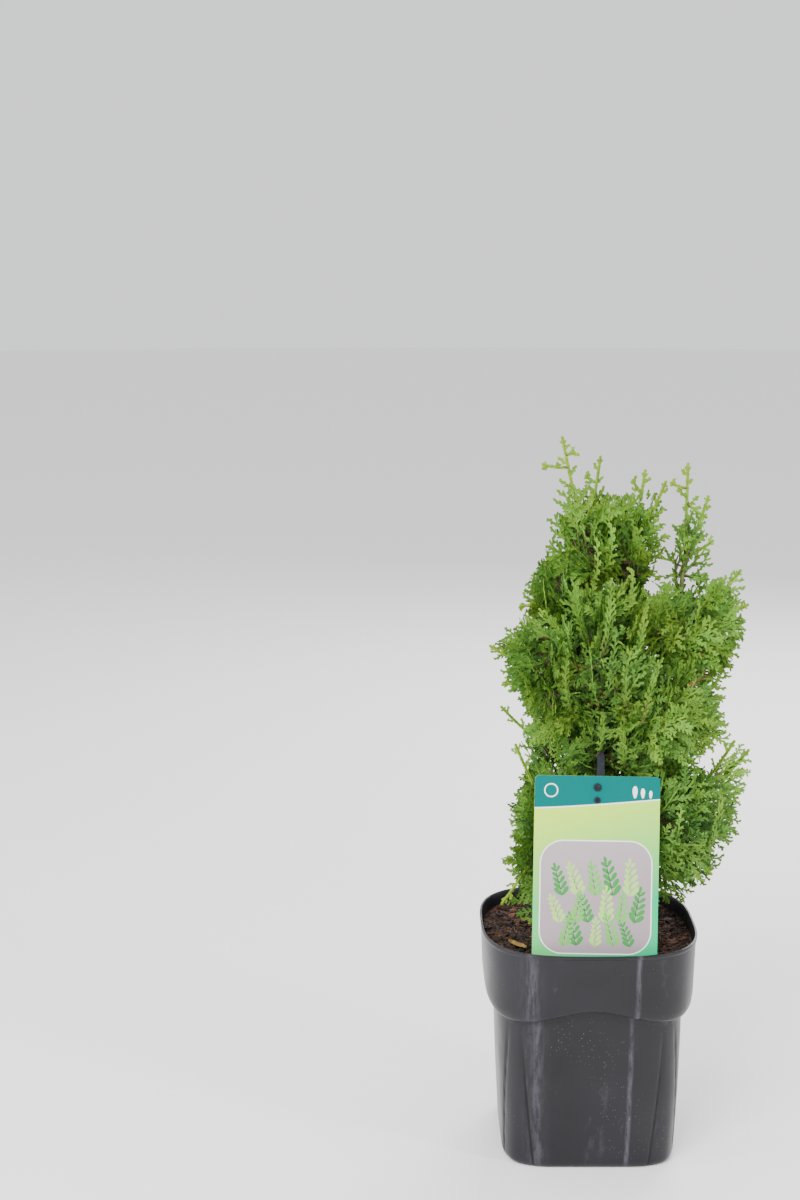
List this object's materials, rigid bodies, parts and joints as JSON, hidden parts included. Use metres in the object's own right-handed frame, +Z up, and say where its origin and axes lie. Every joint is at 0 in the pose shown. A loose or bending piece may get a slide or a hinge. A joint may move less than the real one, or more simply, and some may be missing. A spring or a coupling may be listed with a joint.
{
  "type": "potted thuja",
  "caption": "Young evergreen conifer with flat fan sprays and two leaders, standing in a dark square nursery pot of soil with a plain plant label on a stick.",
  "frame": {"origin": "centre of the pot's flat underside", "axes": "+Z up along the plant, -Y towards the front, where the label stands, +X to the right seen from the front"},
  "size_m": [0.1765, 0.1425, 0.472],
  "materials": {
    "pot_plastic": "semi-gloss thin nursery plastic, scuffed",
    "soil": "moist fibrous peat",
    "label_print": "printed plastic card",
    "bark": "stringy red-brown bark",
    "foliage": "flat sprays of scale leaves"
  },
  "bodies": {
    "root": {"pot": "pot_plastic", "soil": "soil", "label_card": "label_print", "label_stick": "pot_plastic", "trunk": "bark", "leader_right": "bark", "bough_top_middle": "bark", "bough_upper_left": "bark", "bough_left_upper": "bark", "bough_front": "bark", "bough_back_upper": "bark", "bough_right_upper": "bark", "bough_right_middle": "bark", "bough_right_lower": "bark", "bough_middle": "bark", "bough_left_lower": "bark", "bough_front_lower": "bark", "bough_back_left": "bark", "bough_back_right": "bark", "foliage_top_left": "foliage", "foliage_top_middle": "foliage", "foliage_top_right": "foliage", "foliage_upper_left": "foliage", "foliage_left_upper": "foliage", "foliage_front": "foliage", "foliage_back_upper": "foliage", "foliage_right_upper": "foliage", "foliage_right_middle": "foliage", "foliage_right_lower": "foliage", "foliage_left_lower": "foliage", "foliage_front_lower": "foliage", "foliage_middle": "foliage", "foliage_back_left": "foliage", "foliage_back_right": "foliage"}
  },
  "joints": []
}
